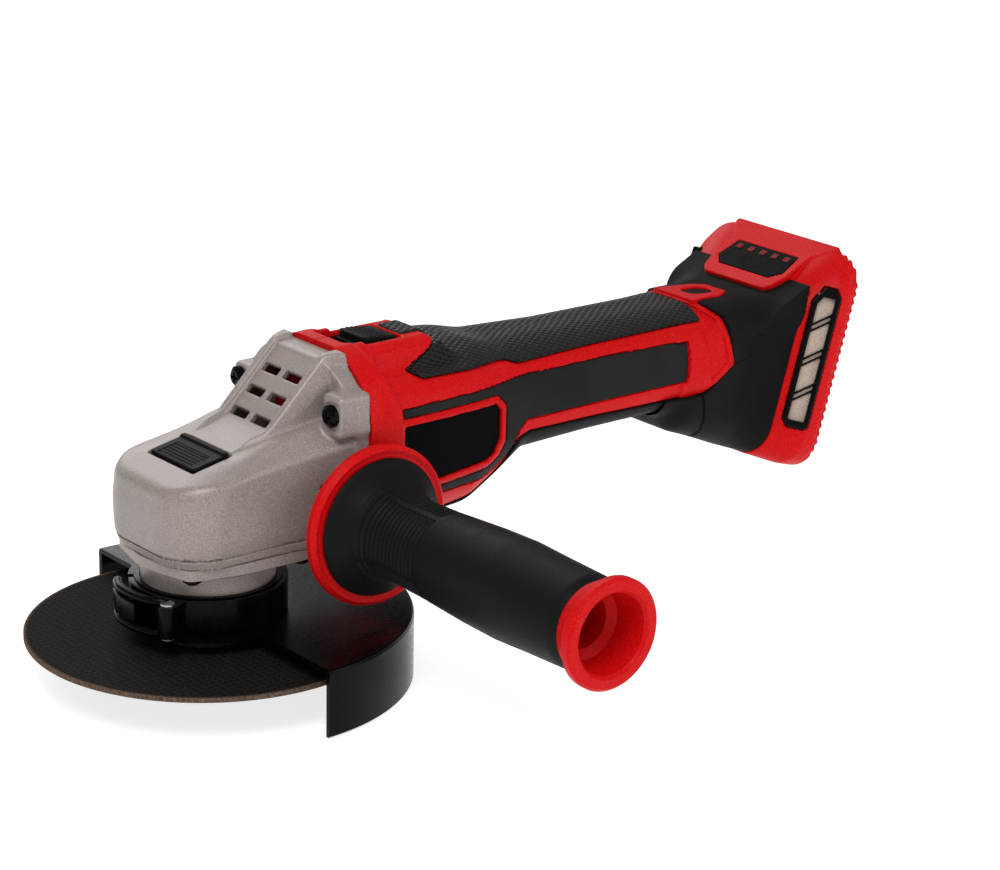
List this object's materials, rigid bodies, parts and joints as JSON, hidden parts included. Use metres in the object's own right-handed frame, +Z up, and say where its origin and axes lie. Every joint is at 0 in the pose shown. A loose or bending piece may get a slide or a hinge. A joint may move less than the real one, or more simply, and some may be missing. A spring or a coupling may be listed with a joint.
{
  "type": "angle grinder",
  "caption": "Cordless angle grinder with a cutting disc, half guard, slide switch, side handle and an open dock for a slide-on battery.",
  "frame": {"origin": "centre of the flange nut's outer face, on the spindle's axis", "axes": "+Z up along the spindle away from the disc, +X from the gear head towards the battery dock, side handle towards -Y"},
  "size_m": [0.332, 0.232, 0.1138],
  "materials": {
    "black_plastic": "fine grain",
    "black_rubber": "soft touch",
    "black_steel": "gloss enamel",
    "board_green": "solder mask",
    "cast_grey": "satin sparkle paint",
    "copper": "enamelled wire",
    "dark_steel": "blackened",
    "disc_resin": "woven abrasive",
    "filter_cloth": "woven mesh",
    "gloss_black": "gloss",
    "gold": "plated",
    "lamp_red": "lamp lens",
    "red_plastic": "fine grain",
    "steel": "ground"
  },
  "bodies": {
    "housing": {"gear_housing": "cast_grey", "bearing_flange": "cast_grey", "flange_screws": "black_steel", "head_screws": "black_steel", "lock_spring": "steel", "spindle_lower_bearing": "steel", "spindle_upper_bearing": "steel", "front_motor_bearing": "steel", "rear_motor_bearing": "steel", "stator_core": "dark_steel", "stator_windings": "copper", "fan_baffle": "red_plastic", "left_body_shell": "red_plastic", "right_body_shell": "red_plastic", "left_side_grip": "black_rubber", "right_side_grip": "black_rubber", "left_label": "gloss_black", "right_label": "gloss_black", "top_grip": "black_rubber", "switch_tray": "black_plastic", "control_board": "board_green", "power_modules": "black_plastic", "buffer_capacitor": "black_plastic", "rear_boot": "black_rubber", "dock_frame": "red_plastic", "display_panel": "gloss_black", "display_lamps": "lamp_red", "left_filter_frame": "black_plastic", "right_filter_frame": "black_plastic", "left_filter_mesh": "filter_cloth", "right_filter_mesh": "filter_cloth", "terminal_block": "black_plastic", "terminal_blades": "gold", "dock_rails": "black_plastic", "shell_screws": "black_steel", "handle_core": "red_plastic", "handle_grip": "black_rubber", "handle_stud": "steel"},
    "spindle_group": {"spindle": "steel", "crown_gear": "dark_steel", "inner_flange": "dark_steel", "cutting_disc": "disc_resin", "flange_nut": "dark_steel"},
    "rotor": {"motor_shaft": "steel", "pinion_gear": "dark_steel", "rotor_core": "dark_steel", "fan": "black_plastic"},
    "lock": {"lock_button": "black_plastic", "lock_pin": "steel"},
    "switch": {"switch_slider": "black_plastic"},
    "guard_body": {"guard": "black_steel", "guard_clamp_band": "black_steel", "clamp_pin": "steel"},
    "clamp_lever_body": {"clamp_lever": "black_steel"}
  },
  "joints": [
    {"name": "spindle_spin", "type": "hinge", "parent": "housing", "child": "spindle_group", "pos_m": [0, 0, 0], "axis": [0, 0, 1], "continuous": true},
    {"name": "rotor_spin", "type": "hinge", "parent": "housing", "child": "rotor", "pos_m": [0, 0, 0.0698], "axis": [1, 0, 0], "continuous": true},
    {"name": "spindle_lock_press", "type": "slide", "parent": "housing", "child": "lock", "axis": [0, 0, -1], "range_m": [0, 0.0018], "stiffness_N_per_m": 900, "springref_m": -0.002, "deforming": ["lock_spring"]},
    {"name": "switch_slide", "type": "slide", "parent": "housing", "child": "switch", "axis": [-1, 0, 0], "range_m": [0, 0.006], "stiffness_N_per_m": 300, "springref_m": -0.003},
    {"name": "guard_turn", "type": "hinge", "parent": "housing", "child": "guard_body", "pos_m": [0, 0, 0], "axis": [0, 0, 1], "range_deg": [-100, 100]},
    {"name": "clamp_lever_open", "type": "hinge", "parent": "guard_body", "child": "clamp_lever_body", "pos_m": [-0.0275, -0.017, 0.02], "axis": [0, 0, 1], "range_deg": [0, 45]}
  ],
  "couplings": [
    {"joint": "rotor_spin", "follows": "spindle_spin", "ratio": 3}
  ]
}
